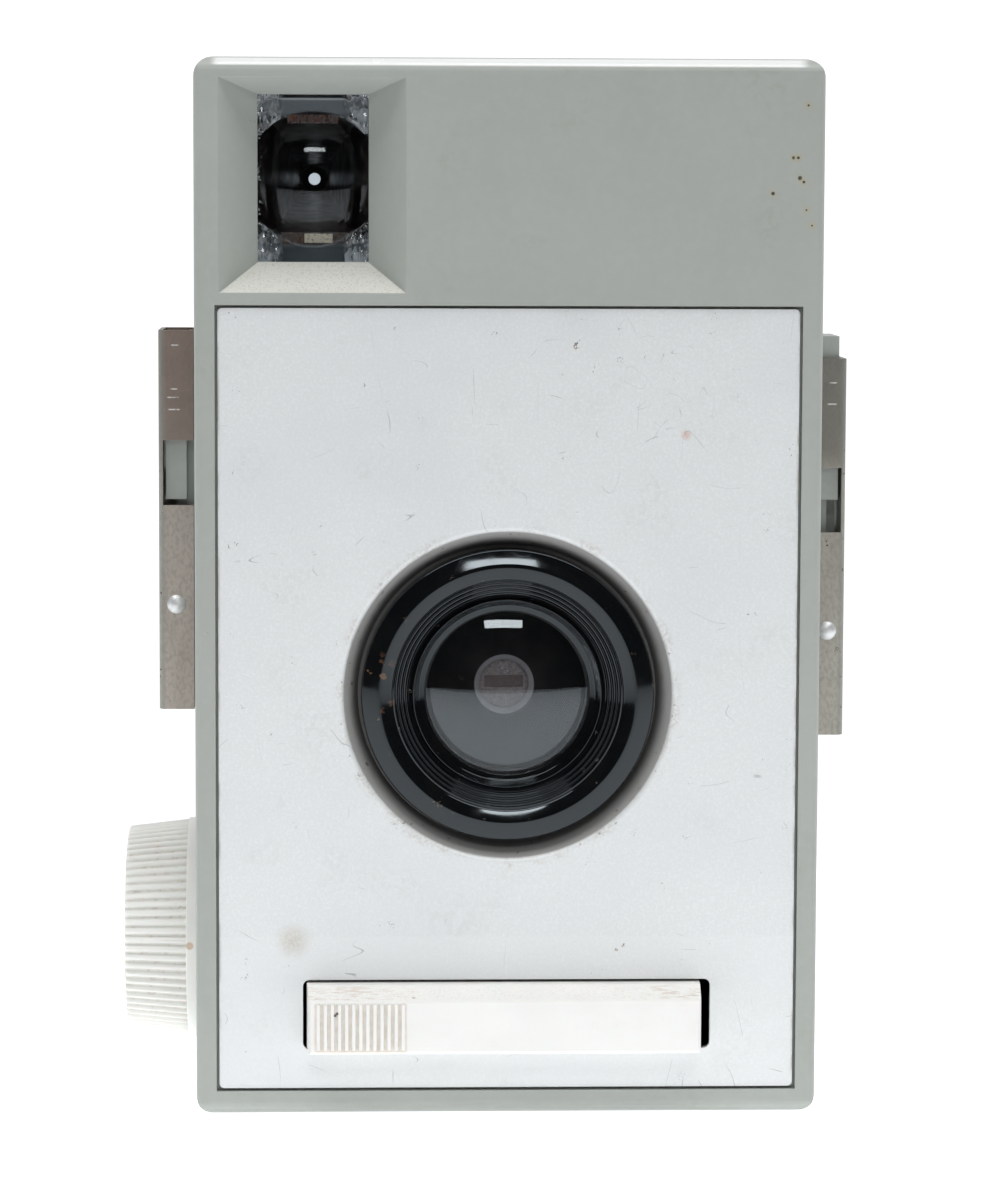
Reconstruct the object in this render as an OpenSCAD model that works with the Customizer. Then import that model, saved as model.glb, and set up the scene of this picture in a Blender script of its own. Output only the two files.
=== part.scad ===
// Box camera for 127 roll film, 4 x 6.5 cm frames, held upright.
// Two moulded shells meet at a split line and are held by two sliding side latches.
// X is to the right seen from the front, Y runs from the front to the back, Z is up.
// Depths are counted from the front face, and from_front() moves the origin to the middle of the base.

/* [Body] */
// Width over the two shells
body_w = 65.5; // [65:0.5:67]
// Height
body_h = 111; // [111:0.5:114]
// Depth, front face to back face
body_d = 70; // [70:0.5:74]
// Moulded wall
wall = 2; // [1.8:0.1:2.2]
// Depth of the front shell, from the front face to the split line
split_d = 19.6; // [19.4:0.1:19.8]
// Radius of the corners in the front view
corner_r = 2.1; // [1:0.1:3]
// Rounding of the top and bottom front edges
edge_r = 1.8; // [0.8:0.1:2]
// Rounding of the side front edges
side_r = 0.8; // [0.4:0.1:1.2]

/* [Front panel] */
// Half width of the panel
panel_hw = 30.3; // [30:0.1:30.4]
// Bottom edge of the panel
panel_z0 = 2.9; // [2.7:0.1:3.2]
// Top edge of the panel
panel_z1 = 85.1; // [84.8:0.1:85.4]
// Sheet thickness
panel_t = 0.8; // [0.7:0.1:0.9]
// Radius at which the panel begins to dip round the lens
well_r = 17.75; // [17.5:0.05:18]

/* [Lens] */
// Height of the lens axis above the base
lens_z = 44.6; // [44:0.1:45]
// Radius of the lens
lens_r = 8.9; // [8.5:0.1:8.9]
// Radius of the stop, f/14 on a 68 mm lens
stop_r = 2.4; // [2:0.05:2.6]

/* [Film] */
// Half width of the frame
frame_hw = 20.5; // [20:0.1:20.6]
// Half height of the frame
frame_hh = 32; // [31:0.1:32]
// Depth of the film at the middle of the frame
film_d = 66.2; // [66:0.1:66.4]
// Radius of the curved film plane
film_r = 140; // [120:5:200]
// Flange radius of a 127 spool
spool_r = 10.3; // [10:0.1:10.5]
// Overall length of a 127 spool
spool_len = 51; // [50:0.5:51]
// Height of the take-up spool and the knob
take_up_z = 13.7; // [13.5:0.1:13.9]
// Depth of both spools
spool_d = 36.5; // [36:0.1:37]

/* [Knob] */
// Radius of the ribbed grip at its inner end
knob_r = 12.25; // [11:0.05:12.5]
// Number of ribs
knob_ribs = 72; // [36:2:80]

/* [Release bar] */
// Left end of the bar
bar_x0 = -21.1; // [-21.2:0.1:-20]
// Right end of the bar
bar_x1 = 20.4; // [20:0.1:20.5]
// Lower edge of the bar
bar_z0 = 7.3; // [7.3:0.1:7.5]
// Upper edge of the bar
bar_z1 = 14.15; // [14:0.05:14.2]
// How far the bar stands proud of the front face
bar_proud = 4; // [3:0.1:4.5]
// Ribs under the finger
bar_ribs = 13; // [8:1:13]

/* [Latches] */
// Top of the left latch
latch_top = 82.3; // [82:0.1:82.5]
// Length of a latch
latch_len = 40.9; // [40:0.1:41]
// How much lower the right latch sits
latch_drop = 2.9; // [2:0.1:2.9]

/* [Hidden] */
$fn = 64;
eps = 0.01;
fit = 0.05;                      // running clearance of pins and shafts
half_w = body_w / 2;
inner_w = half_w - wall;
panel_d = 0.25;                  // the panel's face sits just inside the frame
panel_back = panel_d + panel_t;
front_in = 3.1;                  // inside of the front wall behind the panel
cup_r = well_r + 0.65;           // cup that takes the panel's well
cup_wall = 1.5;
cup_floor = panel_d + panel_t + 3.05;
hub_end = 10.5;                  // rear end of the lens hub
seat_d = 5.3;                    // seat the lens rests on
hub_r = lens_r + 0.1;
bezel_r = 15.4;
ring_r = 10;
// openings for the release bar
slot_x0 = bar_x0 - 0.4;
slot_x1 = bar_x1 + 1.1;
slot_z0 = bar_z0 - 0.3;
slot_z1 = bar_z1 + 0.3;
// viewfinder
finder_x = -20.4;
finder_z = 98.5;
recess = [-30.2, 86.65, -10.75, 108.9];     // outer edge of the sloped recess, x0 z0 x1 z1
window = [-26.2, 89.8, -14.6, 107.2];       // window at the bottom of the recess
recess_d = 4;
finder_lens_d = 4.8;
finder_lens_t = 3.5;
eyepiece_r = 1.8;
// shutter
plate_d = 12.6;
plate_t = 0.8;
screw_points = [for (x = [-24, 24], dz = [-14, 14]) [x, lens_z + dz]];
pivot_x = -11;
pivot_z = lens_z - 8;
blade_d = 11.55;
blade_t = 0.3;
crank_r = 3.1;                   // drive pin to pivot
swing = 60;                      // blade travel in degrees
link_d = 8.2;
link_t = 0.8;
link_x = -15.2;
stop_angle = atan2(lens_z - pivot_z, -pivot_x);
stop_reach = sqrt(pow(pivot_x, 2) + pow(lens_z - pivot_z, 2));
// release mechanism
hinge_x = 18.5;
hinge_d = 3.6;
cam_slope = 1.32;
ramp_top = 18.5;
ramp_d = 4.3;
// side latches, drawn for the right-hand side
latch_d0 = 14.7;
latch_d1 = 24.5;
latch_x1 = 37.1;
sheet = 0.5;
lip_x = 33.3;
rail_x1 = latch_x1 - sheet - 0.3;
rail_x0 = lip_x + sheet + 0.3;
rail_top = 81.8;
rail_bottom = 41.6;
rivet_drop = 29.5;               // rivet below the latch's top
window_len = 7;
window_drop = 11.8;              // window below the latch's top
lower_window_drop = 29.3;
// wind knob
supply_z = 2 * lens_z - take_up_z;
knob_x0 = -41.6;                 // outer face
knob_x1 = -34.7;                 // end of the ribs
rim_x = -33.1;
knob_draft = 0.8;                // how much smaller the grip's outer end is
shaft_r = 2.5;
shaft_x0 = -38.6;
tongue_r = 9;
cheek_x0 = 26.2;
cheek_x1 = 27.7;

plastic_grey = [0.64, 0.66, 0.63];
ivory = [0.93, 0.92, 0.88];
black = [0.06, 0.06, 0.07];
steel = [0.62, 0.60, 0.58];

// ---- helpers ----

function arc(cx, cy, r, a0, a1, n) =
    [for (i = [0:n]) let (a = a0 + (a1 - a0) * i / n) [cx + r * cos(a), cy + r * sin(a)]];

// counts Y from the front face instead of from the middle of the body
module from_front() {
    translate([0, -body_d / 2, 0]) children();
}

// draws (x, z) shapes and extrudes them from depth d0 to d1
module along_y(d0, d1) {
    translate([0, d1, 0]) rotate([90, 0, 0]) linear_extrude(d1 - d0) children();
}

// draws (depth, z) shapes and extrudes them from x0 to x1
module along_x(x0, x1) {
    translate([x0, 0, 0]) rotate([90, 0, 90]) linear_extrude(x1 - x0) children();
}

module along_z(z0, z1) {
    translate([0, 0, z0]) linear_extrude(z1 - z0) children();
}

module block(x0, x1, d0, d1, z0, z1) {
    translate([x0, d0, z0]) cube([x1 - x0, d1 - d0, z1 - z0]);
}

module rod_y(x, z, r, d0, d1) {
    translate([x, d0, z]) rotate([-90, 0, 0]) cylinder(r = r, h = d1 - d0);
}

module rod_x(d, z, r, x0, x1) {
    translate([x0, d, z]) rotate([0, 90, 0]) cylinder(r = r, h = x1 - x0);
}

module rod_z(x, d, r, z0, z1) {
    translate([x, d, z0]) cylinder(r = r, h = z1 - z0);
}

// a (radius, depth) outline turned round the lens axis
module lens_lathe(points) {
    translate([0, 0, lens_z]) rotate([-90, 0, 0]) rotate_extrude($fn = 128) polygon(points);
}

module rounded_rect(x0, z0, x1, z1, r) {
    translate([x0 + r, z0]) square([x1 - x0 - 2 * r, z1 - z0]);
    translate([x0, z0 + r]) square([x1 - x0, z1 - z0 - 2 * r]);
    for (x = [x0 + r, x1 - r], z = [z0 + r, z1 - r]) translate([x, z]) circle(r);
}

// a four-sided funnel between two rectangles [x0, z0, x1, z1] at depths da and db
module funnel(a, da, b, db) {
    polyhedron(
        points = [[a[0], da, a[1]], [a[2], da, a[1]], [a[2], da, a[3]], [a[0], da, a[3]],
                  [b[0], db, b[1]], [b[2], db, b[1]], [b[2], db, b[3]], [b[0], db, b[3]]],
        faces = [[3, 2, 1, 0], [4, 5, 6, 7], [0, 1, 5, 4], [1, 2, 6, 5], [2, 3, 7, 6], [3, 0, 4, 7]]);
}

function grown(r, g) = [r[0] - g, r[1] - g, r[2] + g, r[3] + g];
function centred(x, z, hw, hh) = [x - hw, z - hh, x + hw, z + hh];

// rounded box between two depths; the face at d_round has rounded edges
module shell_form(d0, d1, round_front) {
    sgn = round_front ? 1 : -1;
    face = round_front ? d0 : d1;
    intersection() {
        along_y(d0, d1) rounded_rect(-half_w, 0, half_w, body_h, corner_r);
        along_x(-half_w, half_w) union() {
            translate([round_front ? d0 + edge_r : d0, 0]) square([d1 - d0 - edge_r, body_h]);
            translate([d0, edge_r]) square([d1 - d0, body_h - 2 * edge_r]);
            for (z = [edge_r, body_h - edge_r]) translate([face + sgn * edge_r, z]) circle(edge_r);
        }
        along_z(0, body_h) union() {
            translate([-half_w, round_front ? d0 + side_r : d0]) square([body_w, d1 - d0 - side_r]);
            translate([side_r - half_w, d0]) square([body_w - 2 * side_r, d1 - d0]);
            for (x = [side_r - half_w, half_w - side_r])
                translate([x, face + sgn * side_r]) circle(side_r);
        }
    }
}

// ---- front shell and its trim ----

// T rail on the side wall: continuous at the front, with two bridges over the split line
module latch_rail() {
    difference() {
        union() {
            block(half_w - eps, rail_x0, 16.6, split_d, rail_bottom, rail_top);
            block(rail_x0 - eps, rail_x1, 15.5, split_d, rail_bottom, rail_top);
            for (z = [[rail_bottom, 44.2], [75.5, rail_top]]) {
                block(half_w + 0.3, rail_x0, split_d - eps, 22.6, z[0], z[1]);
                block(rail_x0 - eps, rail_x1, split_d - eps, 23.7, z[0], z[1]);
            }
        }
        // notch that the latch window uncovers
        block(35.2, rail_x1 + 1, 14, 18.2, 56.8, 64.1);
        block(rail_x0 - 0.2, rail_x1 + 1, 14, 16.6, 56.8, 64.1);
        // groove for the stop rivet
        block(34.55, 35.85, 15, 16.8, 45.1, 53.5);
    }
}

module tongue_outline(grow) {
    translate([split_d - 3, take_up_z - tongue_r - grow])
        square([spool_d - split_d + 3, 2 * (tongue_r + grow)]);
    translate([spool_d, take_up_z]) circle(tongue_r + grow);
}

module housing_cavities() {
    block(-inner_w, inner_w, front_in, split_d + eps, wall, body_h - wall);
    block(recess[2] + 2, inner_w, 2.2, front_in + eps, panel_z1 + 2.5, body_h - wall);
}

// light trap that runs round inside the walls, set in by gap from them
module lip(gap, d0, d1) {
    inner = 1.1;
    along_y(d0, d1) difference() {
        translate([gap - inner_w, wall + gap]) square([2 * (inner_w - gap), body_h - 2 * (wall + gap)]);
        translate([inner - inner_w, wall + inner])
            square([2 * (inner_w - inner), body_h - 2 * (wall + inner)]);
    }
}

module front_housing() {
    color(plastic_grey) from_front() difference() {
        union() {
            difference() {
                shell_form(0, split_d, true);
                housing_cavities();
            }
            // cup for the panel's well and hub for the lens
            lens_lathe([[lens_r - 0.8, seat_d], [hub_r, seat_d], [hub_r, cup_floor], [cup_r, cup_floor],
                [cup_r, front_in - 1], [cup_r + cup_wall, front_in - 1],
                [cup_r + cup_wall, cup_floor + 1.8], [hub_r + 1.7, cup_floor + 1.8],
                [hub_r + 1.7, hub_end], [hub_r - 0.3, hub_end], [hub_r - 0.3, 8.2],
                [lens_r - 0.8, 8.2]]);
            // bosses for the carrier screws
            for (p = screw_points) rod_y(p[0], p[1], 2.6, front_in - 1, plate_d);
            // ears for the release pin
            for (z = [[4.3, 6.5], [15.0, 17.2]]) block(16, 21, front_in - 1, 6.6, z[0], z[1]);
            // frame round the finder lens
            block(-inner_w - eps, -9.4, 2, 5.6, recess[1] - 1.2, body_h - wall + eps);
            block(-28.4, -12.4, 5, 8.2, 87.6, body_h - wall + eps);
            // inner lip that laps into the back cover
            lip(-eps, split_d - 3, split_d);
            lip(0.15, split_d - 1, split_d + 2);
            // tongue that carries the knob shaft
            along_x(-half_w, -inner_w) tongue_outline(0);
            latch_rail();
            mirror([1, 0, 0]) latch_rail();
        }
        // pocket for the panel
        block(-panel_hw - 0.3, panel_hw + 0.3, -1, panel_back, panel_z0 - 0.3, panel_z1 + 0.3);
        rod_y(0, lens_z, cup_r, -1, cup_floor - 1);
        // opening for the release bar
        block(slot_x0 - 1, slot_x1 + 0.5, 0, front_in + 1, slot_z0 - 0.3, slot_z1 + 0.3);
        rod_z(hinge_x, hinge_d, 1, 4.3, 17.2);
        // finder recess, window and lens seat
        funnel(recess, -eps, window, recess_d);
        block(window[0], window[2], recess_d - eps, finder_lens_d + eps, window[1], window[3]);
        block(window[0] - 0.7, window[2] + 0.7, finder_lens_d, 9, window[1] - 0.7, window[3] + 0.7);
        for (p = screw_points) rod_y(p[0], p[1], 1.1, 6, plate_d + 1);
        rod_x(spool_d, take_up_z, shaft_r + fit, -half_w - 1, -inner_w + 1);
        // the lip is cut away beside the tongue
        block(-inner_w - 0.1, -inner_w + 2, split_d + 0.5, split_d + 3, take_up_z - 11, take_up_z + 11);
    }
}

// sheet pressed in round the lens: a tight bend, then a cone down to a flat floor
module front_panel() {
    bend = 0.5;
    dip = 60;
    hole_r = well_r + 0.6;
    floor_d = cup_floor - panel_t - fit;
    foot_r = well_r - bend * sin(dip) - (floor_d - panel_d - bend * (1 - cos(dip))) / tan(dip);
    color([0.86, 0.87, 0.88]) from_front() union() {
        difference() {
            along_y(panel_d, panel_back) difference() {
                rounded_rect(-panel_hw, panel_z0, panel_hw, panel_z1, 0.5);
                translate([0, lens_z]) circle(hole_r, $fn = 128);
            }
            along_y(-1, 3) rounded_rect(slot_x0, slot_z0, slot_x1, slot_z1, 0.7);
        }
        lens_lathe(concat(
            [[hole_r, panel_d]], arc(well_r, panel_d + bend, bend, 270, 270 - dip, 5),
            [[foot_r, floor_d], [14.1, floor_d], [14.1, cup_floor - fit], [foot_r + 0.5, cup_floor - fit],
             [well_r + 0.45, panel_back], [hole_r, panel_back]]));
    }
}

// two conical flanks meet in a soft crest, with stepped baffle ridges inside
module lens_bezel() {
    crest = 13.5;
    slope = 21;
    ridges = [for (i = [0:3]) let (r = 12.1 - 0.44 * i, d = 0.75 + 0.34 * i)
        each [[r, d], [r - 0.2, d - 0.1], [r - 0.32, d + 0.28]]];
    color(black) from_front() lens_lathe(concat(
        [[14, cup_floor], [14, cup_floor - panel_t - 2 * fit], [bezel_r, cup_floor - panel_t - 2 * fit]],
        arc(bezel_r - 0.3, 1, 0.3, 0, slope - 90, 4), arc(crest, 1.03, 0.9, slope - 90, -slope - 90, 6),
        [[12.25, 0.55]], ridges, [[ring_r + fit, 2.3], [ring_r + fit, cup_floor]]));
}

// its front slopes in towards the lens
module lens_retaining_ring() {
    color(black) from_front() lens_lathe(concat(
        [[ring_r, cup_floor]], arc(ring_r - 0.12, 2, 0.12, 0, -111, 4),
        [[9.3, 2.65], [lens_r - 0.2, 2.8], [lens_r - 0.2, 2.95], [hub_r, 2.95], [hub_r, cup_floor]]));
}

// meniscus: both faces curve towards the front
module taking_lens() {
    r1 = 21;
    r2 = 27;
    d0 = 1.2;
    d1 = 3.85;
    color([0.75, 0.8, 0.85, 0.4]) from_front() intersection() {
        rod_y(0, lens_z, lens_r, d0 - 0.1, seat_d - 0.01);
        translate([0, d0 + r1, lens_z]) sphere(r1, $fn = 128);
        difference() {
            rod_y(0, lens_z, lens_r + 1, 0, 9);
            translate([0, d1 + r2, lens_z]) sphere(r2, $fn = 128);
        }
    }
}

module aperture_plate() {
    outer_r = hub_r + 1.7;
    color(black) from_front() lens_lathe([[stop_r, 11.3], [stop_r, 10.9], [stop_r + 0.5, hub_end],
        [outer_r, hub_end], [outer_r, 11.3]]);
}

// ---- shutter ----

module shutter_plate() {
    color(steel) from_front() difference() {
        union() {
            along_y(plate_d, plate_d + plate_t) rounded_rect(-27, 27, 27, 62.2, 2);
            // bent tab that seats the link's spring
            block(link_x - 5.6, link_x - 3, link_d + 0.2, plate_d + eps, 42.6, 43.4);
        }
        rod_y(0, lens_z, 5, plate_d - 1, plate_d + 2);
        rod_y(pivot_x, pivot_z, 1, plate_d - 1, plate_d + 2);
        for (p = screw_points) rod_y(p[0], p[1], 1.2, plate_d - 1, plate_d + 2);
        // guide slot for the link's stud
        block(link_x - 1.05, link_x + 1.05, plate_d - 1, plate_d + 2, 28.6, 34.5);
    }
}

module shutter_pivot() {
    color(steel) from_front() union() {
        rod_y(pivot_x, pivot_z, 1, 11.2, plate_d + plate_t);
        rod_y(pivot_x, pivot_z, 1.8, 10.8, 11.3);
    }
}

// sector that covers the stop at both ends of its swing and opens it half way
module shutter_blade() {
    reach = 18.2;
    low = stop_angle - 14;
    color([0.42, 0.40, 0.40]) from_front() difference() {
        union() {
            along_y(blade_d, blade_d + blade_t) translate([pivot_x, pivot_z]) union() {
                polygon(concat([[0, 0]], arc(0, 0, reach, low, low + 88, 22)));
                circle(2.6);
                rotate(180 + swing / 2) translate([0, -1.2]) square([crank_r + 0.9, 2.4]);
            }
            rod_y(pivot_x + crank_r * cos(180 + swing / 2), pivot_z + crank_r * sin(180 + swing / 2),
                0.6, link_d - 0.2, blade_d + blade_t);
        }
        rod_y(pivot_x, pivot_z, 1 + fit, blade_d - 1, blade_d + 1);
        rod_y(pivot_x + stop_reach * cos(stop_angle + swing / 2),
            pivot_z + stop_reach * sin(stop_angle + swing / 2), 3.2, blade_d - 1, blade_d + 1);
        // pressed groove that shows through the stop
        block(-1.9, 1.9, blade_d - 1, blade_d + 0.12, lens_z - 0.4, lens_z + 0.75);
    }
}

// the link's foot lies against the release bar's ramp
module shutter_link() {
    foot_gap = 0.35;
    color(steel) from_front() difference() {
        union() {
            along_y(link_d, link_d + link_t) union() {
                translate([link_x - 1.5, 16]) square([3, pivot_z - 16 - 2]);
                translate([link_x - 1.5, pivot_z - 4]) square([4.6, 4.4]);
                translate([link_x - 5.6, 34.2]) square([5.6, 1]);
            }
            block(link_x - 5.6, link_x - 3, link_d, link_d + 2.6, 34.2, 35.2);
            along_x(link_x - 1.5, link_x + 1.5) polygon([[5, ramp_z(5) + foot_gap], [5, 19.4],
                [link_d + link_t, 19.4], [link_d + link_t, ramp_z(link_d) + foot_gap],
                [link_d, ramp_z(link_d) + foot_gap]]);
            rod_y(link_x, 30, 1, link_d, 14.2);
        }
        // slot that drives the blade's pin
        block(link_x - 0.2, link_x + 2.7, link_d - 1, link_d + 2,
            pivot_z - crank_r / 2 - 0.75, pivot_z - crank_r / 2 + 0.75);
    }
}

// tube swept along a helix about the Z axis
module coil(r, wire, length, turns, sides = 6, steps = 12) {
    n = turns * steps;
    path = [for (i = [0:n]) [r * cos(360 * i / steps), r * sin(360 * i / steps), length * i / n]];
    rings = [for (i = [0:n]) let (a = 360 * i / steps)
        [for (k = [0:sides - 1]) let (b = 360 * k / sides)
            path[i] + wire * [cos(a) * cos(b), sin(a) * cos(b), sin(b)]]];
    points = [for (ring = rings) each ring];
    faces = concat(
        [[for (k = [0:sides - 1]) k]],
        [for (i = [0:n - 1], k = [0:sides - 1]) let (a = i * sides + k, b = i * sides + (k + 1) % sides)
            each [[a, a + sides, b], [b, a + sides, b + sides]]],
        [[for (k = [sides - 1:-1:0]) n * sides + k]]);
    polyhedron(points, faces);
}

module link_spring() {
    color(steel) from_front() translate([link_x - 4.3, link_d + 1.4, 35.45]) coil(0.9, 0.2, 6.9, 8);
}

// ---- release bar ----

function ramp_z(d) = ramp_top - cam_slope * (d - ramp_d);

module release_bar() {
    rib_pitch = 0.74;
    front = -bar_proud;
    color(ivory) from_front() difference() {
        union() {
            // proud part: bevelled upper edge, slightly drawn-in ends
            intersection() {
                along_x(bar_x0, bar_x1) polygon([[front, bar_z0 + 0.3], [front + 0.3, bar_z0],
                    [2.6, bar_z0], [2.6, bar_z1], [-1.2, bar_z1], [front, bar_z1 - 1.3]]);
                along_z(0, 20) polygon([[bar_x0 + 0.5, front], [bar_x0 + 0.25, front + 0.4],
                    [bar_x0, panel_d], [bar_x0, 3], [bar_x1, 3], [bar_x1, panel_d],
                    [bar_x1 - 0.15, front + 0.4], [bar_x1 - 0.45, front]]);
            }
            for (i = [0:bar_ribs - 1]) let (x = bar_x0 + 1.05 + rib_pitch * i)
                block(x, x + 0.37, front - 0.22, front + 0.1, bar_z0 + 0.5, bar_z1 - 1.5);
            // hinge barrel
            rod_z(hinge_x, hinge_d, 1.9, 6.9, 14.6);
            // ramp that lifts the shutter link
            along_x(link_x - 1.5, link_x + 1.5) polygon([[2.5, 9], [2.5, 12.4], [3.7, 13.6],
                [3.7, ramp_top], [ramp_d, ramp_top], [link_d, ramp_z(link_d)], [link_d, 9]]);
        }
        rod_z(hinge_x, hinge_d, 1 + fit, 0, 20);
    }
}

module release_pin() {
    color(steel) from_front() rod_z(hinge_x, hinge_d, 1, 4.3, 17.2);
}

// ---- film carrier ----

// rear surface follows the curved film plane
module light_cone() {
    near = centred(0, lens_z, 3.3, 3.3);
    far = centred(0, lens_z, frame_hw, frame_hh);
    da = 13.4;
    db = 61;
    color(black) from_front() difference() {
        union() {
            along_y(da, da + 1) rounded_rect(-13.5, lens_z - 12, 13.5, lens_z + 12, 1);
            funnel(grown(near, 1.1), da, grown(far, 1.1), db);
            intersection() {
                block(-26.1, 26.1, 58.5, film_d + 1.5, lens_z - 36.2, lens_z + 36.2);
                union() {
                    rod_x(film_d - film_r, lens_z, film_r, -23.3, 23.3);
                    for (x = [-24.7, 24.7])
                        rod_x(film_d - film_r, lens_z, film_r + 0.8, x - 1.4, x + 1.4);
                }
            }
        }
        funnel(near, da - eps, far, db + eps);
        block(-frame_hw, frame_hw, db, film_d + 2, lens_z - frame_hh, lens_z + frame_hh);
    }
}

module spool_frame() {
    side = [[14.4, 27.2], [22.4, 22], [22.4, 3.2], [50, 3.2], [61.5, 9], [61.5, 80.2], [50, 85.9],
        [22.4, 85.9], [22.4, 67], [14.4, 62]];
    color([0.09, 0.09, 0.1]) from_front() difference() {
        union() {
            along_x(-cheek_x1, -cheek_x0) polygon(side);
            along_x(cheek_x0, cheek_x1) polygon(side);
            block(-cheek_x0 - eps, cheek_x0 + eps, 14.4, 15.9, 27.2, 62);
        }
        block(-9, 9, 14, 17, lens_z - 9, lens_z + 9);
        for (p = screw_points) rod_y(p[0], p[1], 1.2, 14, 17);
        rod_x(spool_d, take_up_z, shaft_r + 0.6, -30, -25);
        for (z = [take_up_z, supply_z]) rod_x(spool_d, z, 2.4, 25, 30);
        rod_x(spool_d, supply_z, 1.5, -30, -25);
        // the link's stud runs behind the shutter plate here
        block(link_x - 2, link_x + 2, 14, 17, 27.9, 35);
    }
}

module carrier_screws() {
    color(steel) from_front() for (p = screw_points) difference() {
        union() {
            rod_y(p[0], p[1], 1.1, 7, 16);
            rod_y(p[0], p[1], 1.9, 15.9, 17);
        }
        block(p[0] - 2, p[0] + 2, 16.5, 18, p[1] - 0.25, p[1] + 0.25);
    }
}

// fixed pivot at the left end of the supply spool
module supply_stud() {
    color(steel) from_front() union() {
        rod_x(spool_d, supply_z, 2.2, -cheek_x0, -cheek_x0 + 3);
        rod_x(spool_d, supply_z, 1.5, -cheek_x1, -cheek_x0 + eps);
        rod_x(spool_d, supply_z, 2.6, -cheek_x1 - 0.5, -cheek_x1);
    }
}

module leaf(x0, x1, z, ends) {
    block(x0, x1, spool_d - 3, spool_d + 3, z + min(ends), z + max(ends));
}

// leaf spring outside the right cheek, with a stud that presses into the spool's end
module spool_spring(z, way) {
    far = way * 16;
    color(steel) from_front() union() {
        rod_x(spool_d, z, 2.2, cheek_x0 - 3, cheek_x1 + 0.6);
        leaf(cheek_x1 + 0.3, cheek_x1 + 0.6, z, [-way * 3.5, far]);
        leaf(cheek_x1, cheek_x1 + 0.31, z, [far - way * 4, far]);
        rod_x(spool_d, z + far - way * 2, 1.2, cheek_x1 + 0.5, cheek_x1 + 1);
    }
}

module upper_spool_spring() {
    spool_spring(supply_z, -1);
}

module lower_spool_spring() {
    spool_spring(take_up_z, 1);
}

// ---- viewfinder ----

module finder_front_lens() {
    dish_r = 17;
    r = grown(window, 0.6);
    color([0.8, 0.85, 0.88, 0.4]) from_front() difference() {
        block(r[0], r[2], finder_lens_d, finder_lens_d + finder_lens_t, r[1], r[3]);
        translate([finder_x, finder_lens_d + 2 + dish_r, finder_z]) sphere(dish_r, $fn = 96);
    }
}

module finder_tube() {
    front = centred(finder_x, finder_z, 6.5, 9.2);
    back = centred(finder_x, finder_z, 4.2, 4.2);
    d0 = finder_lens_d + finder_lens_t;
    color([0.16, 0.11, 0.09]) from_front() difference() {
        union() {
            funnel(grown(front, 0.8), d0, grown(back, 0.8), 65.6);
            block(-28.4, -12.4, d0, d0 + 1, 88, 108.8);
        }
        funnel(front, d0 - eps, back, 65.6 + eps);
    }
}

module finder_eyepiece() {
    color([0.8, 0.85, 0.88, 0.4]) from_front() intersection() {
        rod_y(finder_x, finder_z, 4, 66.4, 68);
        translate([finder_x, 66 + 30, finder_z]) sphere(30, $fn = 96);
    }
}

// ---- back cover ----

module latch_lug(z) {
    block(half_w - eps, rail_x0, 20.4, 22.6, z, z + 3);
    block(rail_x0 - eps, rail_x1, 20.4, 23.7, z, z + 3);
}

// dished edge round an opening in the rear face
module countersink(x, z, r1, r2, depth) {
    translate([x, body_d - depth, z]) rotate([-90, 0, 0]) cylinder(r1 = r1, r2 = r2, h = depth + eps);
}

module back_cover() {
    window_x = 12;
    color(plastic_grey) from_front() difference() {
        union() {
            difference() {
                shell_form(split_d, body_d, false);
                block(-inner_w, inner_w, split_d - 1, body_d - wall, wall, body_h - wall);
            }
            for (z = [46.5, 64]) {
                latch_lug(z);
                mirror([1, 0, 0]) latch_lug(z);
            }
            // seats for the eyepiece and the red window
            rod_y(finder_x, finder_z, 5.2, 66.2, body_d - 1);
            rod_y(window_x, lens_z, 6, 67.4, body_d - 1);
        }
        along_x(-half_w - 1, -inner_w + 1) tongue_outline(0.25);
        rod_y(finder_x, finder_z, 4 + fit, 65, 68);
        rod_y(finder_x, finder_z, eyepiece_r, 67, body_d + 1);
        countersink(finder_x, finder_z, eyepiece_r, 5, 1);
        rod_y(window_x, lens_z, 4.8 + fit, 67, 68.6);
        rod_y(window_x, lens_z, 3.6, 68, body_d + 1);
        countersink(window_x, lens_z, 3.6, 5, 0.8);
    }
}

module red_window() {
    color([0.55, 0.03, 0.04, 0.6]) from_front() rod_y(12, lens_z, 4.8, 67.6, 68.6);
}

// ---- film wind ----

// tapered grip with V grooves that follow the taper
module knob_grip() {
    len = knob_x1 - knob_x0;
    taper = atan2(knob_draft, len);
    groove_hw = 0.34;
    groove_d = 0.42;
    translate([knob_x0, spool_d, take_up_z]) difference() {
        rotate([0, 90, 0]) cylinder(r1 = knob_r - knob_draft, r2 = knob_r, h = len);
        for (i = [0:knob_ribs - 1])
            rotate([360 * i / knob_ribs, 0, 0]) translate([0, 0, knob_r - knob_draft])
                rotate([0, -taper, 0]) along_x(-1, len + 1)
                    polygon([[-2 * groove_hw, groove_d], [0, -groove_d], [2 * groove_hw, groove_d]]);
    }
}

module wind_knob() {
    color(ivory) from_front() difference() {
        union() {
            knob_grip();
            rod_x(spool_d, take_up_z, knob_r + 0.2, knob_x1 - eps, rim_x);
        }
        // hollow back, a hub for the shaft and a recess for the screw
        difference() {
            rod_x(spool_d, take_up_z, knob_r - 2, knob_x1 - 2.5, rim_x + 1);
            rod_x(spool_d, take_up_z, 5, knob_x1 - 3, rim_x + 2);
        }
        rod_x(spool_d, take_up_z, shaft_r, shaft_x0, rim_x + 1);
        rod_x(spool_d, take_up_z, 1.3, -41, -38);
        rod_x(spool_d, take_up_z, 3.4, knob_x0 - 1, -39.9);
    }
}

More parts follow.
